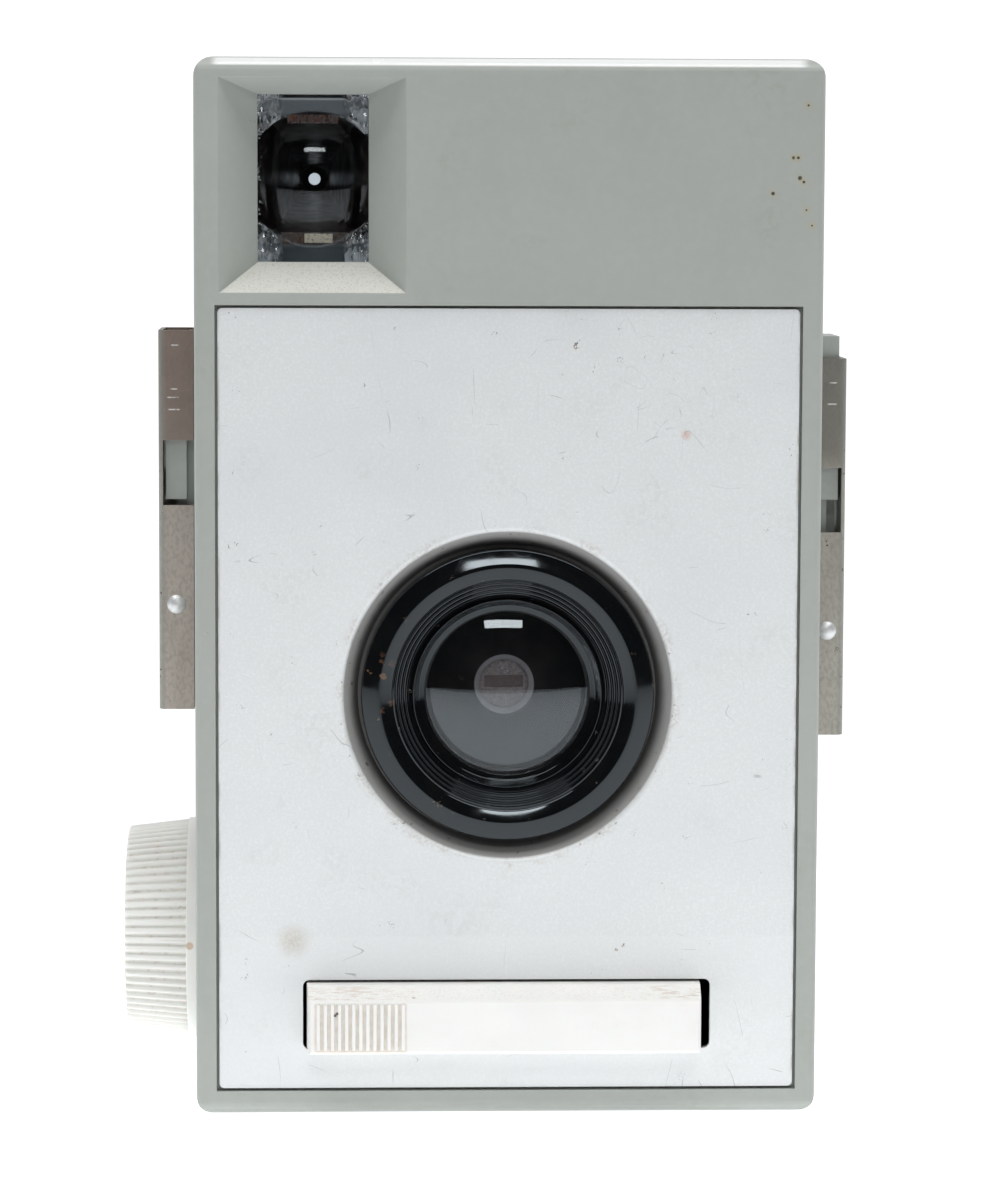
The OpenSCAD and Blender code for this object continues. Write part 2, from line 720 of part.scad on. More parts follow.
// shaft with a flat key that turns the spool
module wind_shaft() {
    color(steel) from_front() difference() {
        union() {
            rod_x(spool_d, take_up_z, shaft_r, shaft_x0, -26.8);
            block(-26.9, -23.4, spool_d - 2.7, spool_d + 2.7, take_up_z - 0.5, take_up_z + 0.5);
        }
        rod_x(spool_d, take_up_z, 1.1, -40, -35);
    }
}

module knob_screw() {
    color(steel) from_front() difference() {
        union() {
            rod_x(spool_d, take_up_z, 2.6, -41.2, -39.9);
            rod_x(spool_d, take_up_z, 1.1, -40, -35.4);
        }
        block(-42, -40.7, spool_d - 3, spool_d + 3, take_up_z - 0.3, take_up_z + 0.3);
    }
}

// felt ring that keeps light out of the shaft hole
module knob_washer() {
    color([0.12, 0.11, 0.1]) from_front() difference() {
        rod_x(spool_d, take_up_z, 8, -35.4, -32.85);
        rod_x(spool_d, take_up_z, 5, -36, -32);
    }
}

// collar that holds the shaft in the wall, with a set screw hole
module shaft_collar() {
    color([0.7, 0.6, 0.35]) from_front() difference() {
        rod_x(spool_d, take_up_z, 5.2, -30.45, -28.6);
        rod_x(spool_d, take_up_z, shaft_r, -31, -28);
        rod_z(-29.5, spool_d, 0.5, take_up_z + 1, take_up_z + 6);
    }
}

module take_up_core() {
    half = spool_len / 2;
    color(black) from_front() difference() {
        rod_x(spool_d, take_up_z, 4.2, 0.8 - half, half - 0.8);
        block(-half - 1, 3.5 - half, spool_d - 3, spool_d + 3, take_up_z - 0.7, take_up_z + 0.7);
        rod_x(spool_d, take_up_z, 2.27, half - 4, half + 1);
        // slot that takes the end of the backing paper
        block(-20, 20, spool_d - 6, spool_d + 6, take_up_z - 0.5, take_up_z + 0.5);
    }
}

module take_up_flanges() {
    half = spool_len / 2;
    color(steel) from_front() difference() {
        union() {
            rod_x(spool_d, take_up_z, spool_r, -half, 0.8 - half);
            rod_x(spool_d, take_up_z, spool_r, half - 0.8, half);
        }
        block(-half - 1, 2 - half, spool_d - 3, spool_d + 3, take_up_z - 0.7, take_up_z + 0.7);
        rod_x(spool_d, take_up_z, 2.27, half - 2, half + 1);
    }
}

// ---- side latches, drawn on the right at the left latch's height ----

module latch_section() {
    b = 0.8;
    x1 = latch_x1;
    polygon(concat(
        [[lip_x, 16.2], [lip_x, latch_d0]],
        arc(x1 - b, latch_d0 + b, b, -90, 0, 5), arc(x1 - b, latch_d1 - b, b, 0, 90, 5),
        [[lip_x, latch_d1], [lip_x, 23], [lip_x + sheet, 23], [lip_x + sheet, latch_d1 - sheet]],
        arc(x1 - b, latch_d1 - b, b - sheet, 90, 0, 3), arc(x1 - b, latch_d0 + b, b - sheet, 0, -90, 3),
        [[lip_x + sheet, latch_d0 + sheet], [lip_x + sheet, 16.2]]));
}

module latch() {
    color([0.55, 0.52, 0.50]) from_front() difference() {
        along_z(latch_top - latch_len, latch_top) latch_section();
        block(lip_x - 1, latch_x1 - sheet, latch_d0 - 1, latch_d1 + 1,
            latch_top - window_drop - window_len, latch_top - window_drop);
        block(lip_x - 1, latch_x1 - sheet, 20, latch_d1 + 1,
            latch_top - lower_window_drop - window_len, latch_top - lower_window_drop);
        rod_y(35.2, latch_top - rivet_drop, 0.5, latch_d0 - 1, latch_d0 + 1);
    }
}

module latch_rivet() {
    z = latch_top - rivet_drop;
    dome = 1.3;
    color([0.85, 0.85, 0.86]) from_front() union() {
        rod_y(35.2, z, 0.5, latch_d0 - 0.1, 16.5);
        intersection() {
            translate([35.2, latch_d0 + dome - 0.5, z]) sphere(dome);
            rod_y(35.2, z, 1.1, latch_d0 - 1, latch_d0);
        }
    }
}

module latch_left() {
    mirror([1, 0, 0]) latch();
}

module latch_rivet_left() {
    mirror([1, 0, 0]) latch_rivet();
}

module latch_right() {
    translate([0, 0, -latch_drop]) latch();
}

module latch_rivet_right() {
    translate([0, 0, -latch_drop]) latch_rivet();
}

// ---- the camera ----

front_housing();
front_panel();
lens_bezel();
lens_retaining_ring();
taking_lens();
aperture_plate();
shutter_plate();
shutter_pivot();
shutter_blade();
shutter_link();
link_spring();
release_bar();
release_pin();
light_cone();
spool_frame();
carrier_screws();
supply_stud();
upper_spool_spring();
lower_spool_spring();
finder_front_lens();
finder_tube();
finder_eyepiece();
back_cover();
red_window();
wind_knob();
wind_shaft();
knob_screw();
knob_washer();
shaft_collar();
take_up_core();
take_up_flanges();
latch_left();
latch_rivet_left();
latch_right();
latch_rivet_right();
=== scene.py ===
import math

import bpy
from mathutils import Matrix, Vector


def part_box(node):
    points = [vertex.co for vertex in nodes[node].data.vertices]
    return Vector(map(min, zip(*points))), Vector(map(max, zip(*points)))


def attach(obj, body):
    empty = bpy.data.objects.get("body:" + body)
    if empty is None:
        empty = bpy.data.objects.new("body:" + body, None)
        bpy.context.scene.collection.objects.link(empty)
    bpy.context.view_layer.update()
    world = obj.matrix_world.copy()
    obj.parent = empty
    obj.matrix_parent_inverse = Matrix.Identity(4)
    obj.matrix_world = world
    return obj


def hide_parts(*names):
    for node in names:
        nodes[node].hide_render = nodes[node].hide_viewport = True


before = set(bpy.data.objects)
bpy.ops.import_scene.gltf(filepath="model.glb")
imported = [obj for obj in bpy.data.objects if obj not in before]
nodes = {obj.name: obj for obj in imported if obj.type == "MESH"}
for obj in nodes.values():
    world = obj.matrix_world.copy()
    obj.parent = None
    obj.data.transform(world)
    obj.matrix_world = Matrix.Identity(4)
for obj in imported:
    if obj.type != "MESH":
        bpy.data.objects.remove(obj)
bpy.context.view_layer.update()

# Looks for the box camera. Meshes are drawn in millimetres and stored in metres, in the CAD frame.
MM = 0.001


# ---- places, taken from the frame ----

def low(node, axis):
    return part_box(node)[0][axis] / MM


def high(node, axis):
    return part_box(node)[1][axis] / MM


def middle(node, axis):
    return (low(node, axis) + high(node, axis)) / 2


X, Y, Z = 0, 1, 2
FRONT = low("front_housing", Y)            # the front face; depths are counted from it
LENS_Z = middle("lens_bezel", Z)
KNOB_Y, KNOB_Z = middle("wind_knob", Y), middle("wind_knob", Z)
KNOB_FLANGE = 1.6                          # thickness of the smooth rim beside the grip
GRIP_START, GRIP_END = low("wind_knob", X), high("wind_knob", X) - KNOB_FLANGE
GRIP_R0, GRIP_R1 = 11.45, 12.25            # over the ribs, at the two ends
GRIP_TAPER = (GRIP_R1 - GRIP_R0) / (GRIP_END - GRIP_START)
FINDER_X, FINDER_Z = middle("finder_front_lens", X), middle("finder_front_lens", Z)


# ---- shaders ----

def srgb(r, g, b):
    """A colour given as 0-255 screen values."""
    return tuple(((v / 255 + 0.055) / 1.055) ** 2.4 if v > 10 else v / 255 / 12.92 for v in (r, g, b)) + (1,)


def darker(colour, share):
    return tuple(c * share for c in colour[:3]) + (1,)


class Shader:
    """A Principled material that gathers procedural colour, roughness and bump in object space."""

    def __init__(self, name, colour, rough, **constants):
        self.material = bpy.data.materials.new(name)
        self.material.use_nodes = True
        self.tree = self.material.node_tree
        self.surface = self.tree.nodes["Principled BSDF"]
        self.place = self.node("TexCoord").outputs["Object"]
        self.colour, self.rough, self.height = colour, rough, None
        for key, value in constants.items():
            self.surface.inputs[key.replace("_", " ")].default_value = value

    def put(self, socket, value):
        if isinstance(value, bpy.types.NodeSocket):
            self.tree.links.new(value, socket)
        else:
            socket.default_value = value

    def node(self, kind, inputs=(), **settings):
        made = self.tree.nodes.new("ShaderNode" + kind)
        for key, value in settings.items():
            setattr(made, key, value)
        for key, value in dict(inputs).items():
            self.put(made.inputs[key], value)
        return made

    def math(self, operation, a, b=0.0):
        return self.node("Math", {0: a, 1: b}, operation=operation).outputs[0]

    def vector(self, operation, a, b):
        return self.node("VectorMath", {0: a, 1: b}, operation=operation).outputs[0]

    def ramp(self, value, start, end, low=0.0, high=1.0):
        """A smooth step of value between start and end."""
        return self.node("MapRange", {0: value, 1: start, 2: end, 3: low, 4: high},
                         interpolation_type="SMOOTHSTEP").outputs[0]

    def fade(self, length, start, end):
        """A smooth step of a length between start and end millimetres."""
        return self.ramp(length, start * MM, end * MM)

    def scaled(self, size, stretch=(1, 1, 1), seed=0):
        """Object place in units of size millimetres, drawn out by stretch."""
        factor = [1 / (size * MM * s) for s in stretch]
        moved = self.vector("ADD", self.place, (seed * 0.37, seed * 0.61, seed * 0.83))
        return self.vector("MULTIPLY", moved, factor)

    def noise(self, size, detail=3.0, stretch=(1, 1, 1), seed=0, distortion=0.0):
        return self.node("TexNoise", {"Vector": self.scaled(size, stretch, seed), "Scale": 1.0,
                                      "Detail": detail, "Distortion": distortion}).outputs["Fac"]

    def patches(self, size, start, end, seed=0, detail=3.0, stretch=(1, 1, 1)):
        return self.ramp(self.noise(size, detail, stretch, seed), start, end)

    def specks(self, spacing, size, keep, seed=0):
        """Round spots of random sizes up to size, about spacing apart. keep is the share that shows."""
        warped = self.vector("ADD", self.scaled(spacing, seed=seed),
                             self.node("TexNoise", {"Vector": self.scaled(size * 1.2, seed=seed),
                                                    "Scale": 1.0}).outputs["Color"])
        cells = self.node("TexVoronoi", {"Vector": warped, "Scale": 1.0})
        rgb = self.node("SeparateColor", {0: cells.outputs["Color"]}).outputs
        reach = self.math("MULTIPLY", rgb[0], size / spacing)
        inside = self.ramp(self.math("SUBTRACT", reach, cells.outputs["Distance"]), 0.0,
                           0.12 * size / spacing)
        return self.math("MULTIPLY", inside, self.math("LESS_THAN", rgb[1], keep))

    def hairs(self, size, width, seed=0, stretch=(1, 1, 1), start=0.5, end=0.62):
        """Thin curved lines: contours of a noise, broken into short runs."""
        field = self.noise(size, 0.0, stretch, seed, 0.6)
        line = self.math("ABSOLUTE", self.math("SUBTRACT", field, 0.5))
        runs = self.patches(size * 0.7, start, end, seed + 3, 1.0)
        return self.math("MULTIPLY", self.ramp(line, width / size, width / size / 3), runs)

    def axis(self, index):
        return self.node("SeparateXYZ", {0: self.place}).outputs[index]

    def band(self, index, start, end):
        """0 where the coordinate is at start millimetres, 1 where it is at end."""
        return self.fade(self.axis(index), start, end)

    def near(self, point, radius, core=0.0):
        """1 at a point given in millimetres, fading to 0 at radius."""
        away = self.node("VectorMath", {0: self.place, 1: [c * MM for c in point]}, operation="DISTANCE")
        return self.fade(away.outputs["Value"], radius, core)

    def around(self, along, centre):
        """Distance from the line through centre that runs along an axis, in metres."""
        keep = [0.0 if i == along else 1.0 for i in range(3)]
        flat = self.vector("MULTIPLY", self.vector("SUBTRACT", self.place, [c * MM for c in centre]), keep)
        return self.node("VectorMath", {0: flat}, operation="LENGTH").outputs["Value"]

    def both(self, *masks):
        result = masks[0]
        for mask in masks[1:]:
            result = self.math("MULTIPLY", result, mask)
        return result

    def tint(self, mask, colour, amount=1.0):
        factor = self.math("MULTIPLY", mask, amount)
        mix = self.node("Mix", data_type="RGBA")
        self.put(mix.inputs[0], factor)
        self.put(mix.inputs[6], self.colour)
        self.put(mix.inputs[7], colour)
        self.colour = mix.outputs[2]

    def worn(self, mask, change):
        """Adds change to the roughness where mask is 1."""
        self.rough = self.math("ADD", self.rough, self.math("MULTIPLY", mask, change))

    def raise_by(self, mask, height):
        """Adds height millimetres of relief where mask is 1."""
        step = self.math("MULTIPLY", mask, height)
        self.height = step if self.height is None else self.math("ADD", self.height, step)

    def done(self):
        self.put(self.surface.inputs["Base Color"], self.colour)
        self.put(self.surface.inputs["Roughness"], self.rough)
        if self.height is not None:
            bump = self.node("Bump", {"Height": self.height, "Distance": MM, "Strength": 1.0})
            self.put(self.surface.inputs["Normal"], bump.outputs[0])
        return self.material


RUST = srgb(92, 62, 40)
DIRT = srgb(96, 86, 70)
SOOT = srgb(38, 34, 30)


def moulded_grey():
    s = Shader("housing_grey", srgb(166, 170, 165), 0.36)
    s.tint(s.patches(24, 0.35, 0.65), srgb(160, 165, 159), 0.6)
    s.tint(s.patches(1.1, 0.4, 0.7, 2, 4), srgb(173, 177, 172), 0.25)
    s.tint(s.both(s.patches(9, 0.55, 0.75, 4), s.patches(0.8, 0.45, 0.6, 5)), srgb(146, 146, 134), 0.25)
    # pin-head rust spots in the upper right corner of the face
    for x, z, radius in ((29.4, 100.8, 0.17), (29.9, 100.8, 0.15), (30.1, 98.7, 0.22), (30.5, 98.3, 0.15),
                         (27.3, 97.1, 0.19), (30.9, 106.2, 0.12), (30.8, 95.4, 0.1), (31.4, 93.8, 0.1)):
        s.tint(s.near((x, FRONT, z), 0.6, 0.2), srgb(172, 164, 134), 0.5)
        s.tint(s.near((x, FRONT, z), radius * 1.2, radius * 0.8), SOOT, 0.9)
    s.tint(s.specks(6.5, 0.45, 0.35, 9), RUST, 0.6)
    s.tint(s.specks(3.1, 0.16, 0.5, 11), DIRT, 0.5)
    s.tint(s.hairs(14, 0.035, 13), srgb(182, 186, 180), 0.12)
    # painted light: the upward-facing slope under the finder is painted pale, as if lit from above; brown
    # grains of dirt lie over it
    opening_half_w, opening_half_h, mitre_rise = 5.8, 8.7, 0.8
    recess_half_w, recess_drop, recess_d = 10, 12.2, 4.4
    side = s.math("ABSOLUTE", s.math("SUBTRACT", s.axis(X), FINDER_X * MM))
    drop = s.math("SUBTRACT", (FINDER_Z - opening_half_h) * MM, s.axis(Z))
    mitre = s.math("MULTIPLY", s.math("SUBTRACT", side, opening_half_w * MM), mitre_rise)
    slope = s.both(s.fade(s.math("SUBTRACT", drop, mitre), 0, 0.12),
                   s.band(Z, FINDER_Z - recess_drop, FINDER_Z - recess_drop + 0.4),
                   s.band(Y, FRONT + 0.02, FRONT + 0.08), s.band(Y, FRONT + recess_d, FRONT + recess_d - 0.3),
                   s.fade(side, recess_half_w + 0.2, recess_half_w))
    s.tint(slope, srgb(212, 213, 206), 0.9)
    s.tint(s.both(slope, s.patches(0.22, 0.5, 0.68, 21, 4)), srgb(168, 160, 136), 0.45)
    # painted highlight along the top front edge, which is also made smoother
    top = high("front_housing", Z)
    ridge = s.both(s.band(Z, top - 1.0, top - 0.75), s.band(Z, top - 0.05, top - 0.2),
                   s.band(Y, FRONT + 1.6, FRONT + 0.9), s.fade(s.math("ABSOLUTE", s.axis(X)), 31.2, 30))
    s.tint(ridge, srgb(238, 240, 238), 0.9)
    s.worn(ridge, -0.18)
    # the hub behind the lens is blackened
    hub_r, hub_start, hub_end = 13.2, 3.8, 15
    reach = s.around(Y, (0, 0, LENS_Z))
    s.tint(s.both(s.fade(reach, hub_r + 0.2, hub_r), s.band(Y, FRONT + hub_start - 0.2, FRONT + hub_start),
                  s.band(Y, FRONT + hub_end + 1, FRONT + hub_end)), srgb(18, 18, 18))
    s.worn(s.patches(5, 0.3, 0.7, 15), 0.1)
    s.raise_by(s.noise(0.35, 2, seed=17), 0.006)
    s.raise_by(s.noise(7, 1, seed=19), 0.03)
    return s.done()


def silver_panel():
    s = Shader("panel_silver", srgb(225, 227, 226), 0.42, Metallic=0.12)
    s.tint(s.noise(0.16, 1, seed=2), srgb(200, 205, 208), 0.5)
    s.tint(s.patches(0.33, 0.45, 0.7, 3, 2), srgb(234, 237, 239), 0.35)
    s.tint(s.patches(20, 0.4, 0.7, 4), srgb(210, 214, 216), 0.35)
    s.tint(s.both(s.patches(6, 0.5, 0.75, 5), s.patches(0.5, 0.42, 0.6, 6)), srgb(190, 190, 186), 0.2)
    # paler strip along the bottom
    strip_top = 19.2
    s.tint(s.band(Z, strip_top, strip_top - 0.3), srgb(228, 230, 230), 0.3)
    # flecks of rust and dirt
    s.tint(s.specks(5, 0.45, 0.45, 8), RUST, 0.75)
    s.tint(s.specks(2.6, 0.22, 0.45, 10), SOOT, 0.6)
    s.tint(s.both(s.near((-22.5, FRONT, 18.6), 2.4, 0.2), s.noise(0.3, 3, seed=12)), srgb(160, 144, 112), 0.7)
    s.tint(s.both(s.near((18.5, FRONT, 72), 0.8, 0.1), s.noise(0.2, 2, seed=14)), srgb(196, 122, 84), 0.9)
    # fine scratches
    s.tint(s.hairs(9, 0.018, 16, (0.7, 1, 2.6), 0.56, 0.66), srgb(140, 143, 145), 0.6)
    s.tint(s.hairs(5, 0.014, 21, (1.8, 1, 0.8), 0.6, 0.68), srgb(128, 130, 132), 0.6)
    s.tint(s.both(s.near((16, FRONT, 78), 9, 3), s.hairs(2.6, 0.02, 25, end=0.56)), srgb(165, 165, 164), 0.5)
    # dust gathered on the edge of the well; its wall is painted grey just past the edge and dark further
    # down, painted shade with some soot
    well_r = 17.8
    reach = s.around(Y, (0, 0, LENS_Z))
    rim = s.both(s.fade(reach, well_r + 0.7, well_r), s.patches(3, 0.45, 0.62, 28))
    s.tint(s.both(rim, s.patches(0.35, 0.4, 0.6, 27, 4)), srgb(150, 134, 110), 0.25)
    s.tint(s.band(Y, FRONT + 0.5, FRONT + 0.75), srgb(156, 155, 152), 0.85)
    s.tint(s.band(Y, FRONT + 1.5, FRONT + 3.0), srgb(58, 56, 54), 0.8)
    s.tint(s.both(s.fade(reach, well_r + 0.3, well_r - 0.3), s.specks(0.8, 0.2, 0.4, 30)),
           srgb(84, 64, 44), 0.7)
    # grime along the outer edge
    half_w = high("front_panel", X)
    edge = s.fade(s.math("ABSOLUTE", s.axis(X)), half_w - 0.3, half_w)
    s.tint(s.both(edge, s.patches(3.5, 0.4, 0.65, 31)), srgb(130, 127, 118), 0.5)
    s.worn(s.patches(3, 0.3, 0.7, 33), 0.08)
    s.raise_by(s.noise(0.22, 2, seed=35), 0.006)
    s.raise_by(s.noise(18, 1, seed=37), 0.05)
    return s.done()


def gloss_black():
    s = Shader("gloss_black", srgb(10, 12, 14), 0.06, Specular_Tint=(0.84, 0.94, 1, 1))
    s.tint(s.patches(3, 0.4, 0.7), srgb(19, 19, 18), 0.5)
    dust = s.specks(1.15, 0.13, 0.55, 3)
    s.tint(dust, srgb(150, 140, 125), 0.7)
    s.tint(s.specks(2.7, 0.26, 0.3, 5), srgb(110, 92, 74), 0.6)
    # grime on the rim at the side of the dark well
    grime = s.near((-15, FRONT + 1, LENS_Z + 1), 5, 1)
    s.tint(s.both(grime, s.specks(0.9, 0.5, 0.5, 7)), srgb(150, 112, 84), 0.4)
    s.worn(s.patches(2, 0.35, 0.75, 9), 0.05)
    s.worn(dust, 0.5)
    s.worn(s.hairs(5, 0.02, 11), 0.12)
    s.raise_by(dust, 0.01)
    s.raise_by(s.noise(3, 0, seed=13), 0.002)
    return s.done()


def lens_glass():
    s = Shader("lens_glass", srgb(244, 248, 252), 0.0, Transmission_Weight=1.0, IOR=1.52,
               Specular_Tint=(0.88, 0.96, 1, 1))
    s.worn(s.specks(2.2, 0.12, 0.3, 3), 0.5)
    s.worn(s.patches(4, 0.55, 0.8, 5), 0.02)
    return s.done()


def clear_plastic(name="clear_plastic"):
    """Returns the shader, which still has to be done."""
    s = Shader(name, srgb(226, 232, 236), 0.0, Transmission_Weight=1.0, IOR=1.49)
    s.worn(s.patches(2.5, 0.5, 0.8, 3), 0.02)
    s.worn(s.specks(1.8, 0.1, 0.4, 5), 0.4)
    return s


def finder_plastic():
    """Clear block with painted reflections and light on its back: pale facets between a round dish and the
    cut corners, the lit tunnel, glints.
    """
    dish_r, half_w, half_h = 7.0, 5.55, 8.4
    s = clear_plastic("finder_plastic")
    right = s.math("SUBTRACT", s.axis(X), FINDER_X * MM)
    up = s.math("SUBTRACT", s.axis(Z), FINDER_Z * MM)
    side, rise = s.math("ABSOLUTE", right), s.math("ABSOLUTE", up)
    reach = s.around(Y, (FINDER_X, 0, FINDER_Z))
    back = s.band(Y, low("finder_front_lens", Y) + 0.9, low("finder_front_lens", Y) + 1.3)
    above = s.fade(up, -1, 1)
    below = s.math("SUBTRACT", 1.0, above)
    reflection_opacity = 0.0

    def strip(left, right_end, bottom, top):
        soft = 0.12
        return s.both(s.fade(right, left, left + soft), s.fade(right, right_end, right_end - soft),
                      s.fade(up, bottom, bottom + soft), s.fade(up, top, top - soft))

    def paint(mask, colour, opacity):
        nonlocal reflection_opacity
        mask = s.both(mask, back)
        s.tint(mask, colour)
        reflection_opacity = s.math("MAXIMUM", reflection_opacity, s.math("MULTIPLY", mask, opacity))

    # painted reflections round the dish, pale above and grey below
    arch = s.fade(reach, dish_r - 0.2, dish_r + 0.3)
    streaks = s.patches(0.5, 0.2, 0.7, 6, 3, (0.5, 1, 3))
    paint(s.both(arch, above, s.fade(rise, half_h + 0.1, half_h - 0.1), s.fade(rise, 5.9, 7.2)),
          srgb(190, 196, 200), 0.62)
    paint(s.both(arch, below, s.fade(rise, 5.9, 7.4)), srgb(120, 132, 138), 0.42)
    # painted view of the lit tunnel walls, brown strips above and below
    paint(s.both(strip(-2.8, 2.7, 5.7, 6.7), streaks), srgb(180, 118, 86), 0.6)
    paint(s.both(strip(-3.4, 3.8, -6.9, -5.6), streaks), srgb(140, 98, 70), 0.45)
    # painted pool of light: the sunlit floor of the tunnel seen through the block
    paint(s.both(strip(-1.0, 2.1, -6.8, -5.7), s.patches(0.3, 0.1, 0.5, 8)), srgb(246, 236, 214), 0.95)
    # painted highlight along the top edge
    paint(strip(-4.8, 4.8, 8.1, 8.45), srgb(245, 247, 248), 0.85)
    # painted glints on the broken facets in the corners and along a chipped left edge
    shards = s.node("TexVoronoi", {"Vector": s.scaled(0.8, (1, 1, 1.6), 9), "Scale": 1.0})
    facet = s.node("SeparateColor", {0: shards.outputs["Color"]}).outputs[0]
    corner = s.both(s.fade(reach, dish_r, dish_r + 0.5), s.fade(side, 3.1, 3.9), s.fade(rise, 4.4, 5.4))
    glints = s.both(corner, s.ramp(facet, 0.1, 0.9))
    paint(s.both(glints, above), srgb(240, 245, 248), 0.95)
    paint(s.both(glints, below), srgb(210, 220, 226), 0.7)
    paint(s.both(s.fade(right, 0.25 - half_w, -half_w), s.specks(0.35, 0.2, 0.6, 12)),
          srgb(225, 228, 230), 0.8)
    s.put(s.surface.inputs["Transmission Weight"], s.math("SUBTRACT", 1.0, reflection_opacity))
    s.raise_by(s.both(corner, shards.outputs["Distance"]), 0.4)
    return s.done()


def matte_black():
    s = Shader("matte_black", srgb(26, 26, 27), 0.6)
    s.tint(s.noise(0.3, 3, seed=2), srgb(40, 39, 38), 0.5)
    s.tint(s.specks(1.7, 0.14, 0.5, 4), srgb(120, 114, 104), 0.4)
    s.worn(s.patches(3, 0.3, 0.7, 6), 0.12)
    s.raise_by(s.noise(0.25, 2, seed=8), 0.01)
    return s.done()


def stop_black():
    """Dull paint of the stop plate, with a pale worn edge round the hole."""
    s = Shader("stop_black", srgb(15, 14, 14), 0.75, Specular_IOR_Level=0.15)
    s.tint(s.patches(3.5, 0.4, 0.7, 2), srgb(30, 26, 25), 0.8)
    reach = s.around(Y, (0, 0, LENS_Z))
    s.tint(s.fade(reach, 3.0, 2.85), srgb(128, 126, 126), 0.9)
    s.tint(s.specks(1.1, 0.12, 0.3, 4), srgb(96, 88, 80), 0.5)
    s.worn(s.patches(1.5, 0.3, 0.7, 6), 0.1)
    s.raise_by(s.noise(1.2, 2, seed=8), 0.004)
    return s.done()


def dark_plastic():
    s = Shader("dark_plastic", srgb(33, 33, 34), 0.45)
    s.tint(s.patches(6, 0.3, 0.7), srgb(42, 41, 40), 0.6)
    s.tint(s.specks(2.2, 0.12, 0.5, 4), srgb(110, 104, 96), 0.4)
    s.worn(s.patches(2, 0.3, 0.7, 6), 0.15)
    s.raise_by(s.noise(0.5, 3, seed=8), 0.012)
    return s.done()


def tunnel_brown():
    s = Shader("tunnel_brown", srgb(58, 40, 33), 0.3)
    s.tint(s.patches(5, 0.35, 0.65, 1, 3, (1, 3, 1)), srgb(40, 32, 30), 0.7)
    s.tint(s.specks(1.4, 0.15, 0.5, 3), srgb(130, 116, 96), 0.5)
    s.worn(s.patches(3, 0.3, 0.7, 5), 0.15)
    s.raise_by(s.noise(0.8, 2, seed=7), 0.008)
    return s.done()


def steel(name, colour, rough, along):
    """Brushed metal with its grain along one axis. Returns the shader, which still has to be done."""
    s = Shader(name, colour, rough, Metallic=1.0)
    grain = s.noise(0.12, 3, along, 2)
    s.tint(s.ramp(grain, 0.3, 0.7), darker(colour, 0.72), 0.6)
    s.tint(s.patches(4, 0.4, 0.7, 4), darker(colour, 0.8), 0.5)
    s.worn(s.ramp(grain, 0.3, 0.7), 0.12)
    s.raise_by(grain, 0.004)
    return s


def spring_steel():
    s = steel("spring_steel", srgb(176, 175, 174), 0.28, (1, 1, 14))
    s.tint(s.specks(2.4, 0.2, 0.3, 8), RUST, 0.5)
    return s.done()


def blade_steel():
    s = Shader("blade_steel", srgb(112, 104, 103), 0.5, Metallic=0.35)
    s.tint(s.patches(0.5, 0.35, 0.7, 2, 4), srgb(134, 126, 124), 0.6)
    s.tint(s.patches(0.15, 0.4, 0.65, 3, 2), srgb(84, 76, 74), 0.5)
    s.tint(s.specks(0.9, 0.14, 0.4, 5), srgb(48, 40, 38), 0.7)
    # the pressed groove is tinted darker, a dark line along it
    groove_d = 11.56
    s.tint(s.band(Y, FRONT + groove_d, FRONT + groove_d + 0.1), srgb(72, 58, 56), 0.7)
    s.worn(s.patches(1, 0.3, 0.7, 7), 0.12)
    s.raise_by(s.noise(0.2, 2, seed=9), 0.004)
    return s.done()


def latch_metal():
    """Tarnished strip, browner on the left latch and darker above its window."""
    s = Shader("latch_metal", srgb(182, 179, 169), 0.45, Metallic=0.95)
    left, upper = s.band(X, 1, -1), s.band(Z, 66, 70)
    s.tint(left, srgb(190, 181, 172), 0.8)
    s.tint(upper, srgb(138, 136, 128), 0.95)
    s.tint(s.both(upper, left), srgb(152, 134, 125), 0.85)
    s.tint(s.patches(0.35, 0.4, 0.66, 6, 4, (1, 1, 1.6)), srgb(126, 122, 114), 0.3)
    s.tint(s.patches(5, 0.42, 0.68, 8, 3, (1, 1, 3)), srgb(150, 142, 134), 0.35)
    # a greyer line where the sheet bends
    s.tint(s.fade(s.math("ABSOLUTE", s.axis(X)), 36.2, 36.7), srgb(142, 146, 140), 0.6)
    rust = s.math("MAXIMUM", s.specks(1.6, 0.26, 0.3, 10), s.specks(0.6, 0.15, 0.35, 12))
    s.tint(rust, srgb(84, 56, 42), 0.75)
    for x, z, half in ((-35.3, 80.7, 0.5), (-35.4, 76.0, 0.5), (-35.5, 75.1, 0.75), (-35.4, 73.8, 0.75),
                       (35.6, 76.8, 0.5), (35.5, 74.5, 0.6)):
        scratch = s.both(s.band(Z, z - 0.1, z - 0.03), s.band(Z, z + 0.1, z + 0.03),
                         s.band(X, x - half, x - half + 0.3), s.band(X, x + half, x + half - 0.3))
        s.tint(s.both(scratch, s.patches(0.4, 0.25, 0.5, 20)), srgb(238, 237, 234))
    s.worn(rust, 0.4)
    s.worn(s.patches(2, 0.3, 0.7, 16), 0.12)
    s.raise_by(rust, 0.012)
    s.raise_by(s.noise(0.3, 2, seed=18), 0.004)
    return s.done()


def rivet_metal():
    s = Shader("rivet_metal", srgb(224, 226, 226), 0.45, Metallic=0.6)
    s.tint(s.patches(0.5, 0.4, 0.7, 3, 3), srgb(196, 198, 198), 0.6)
    s.tint(s.specks(0.6, 0.1, 0.3, 6), RUST, 0.5)
    s.worn(s.patches(0.4, 0.3, 0.7, 8), 0.1)
    s.raise_by(s.noise(0.3, 2, seed=9), 0.004)
    return s.done()


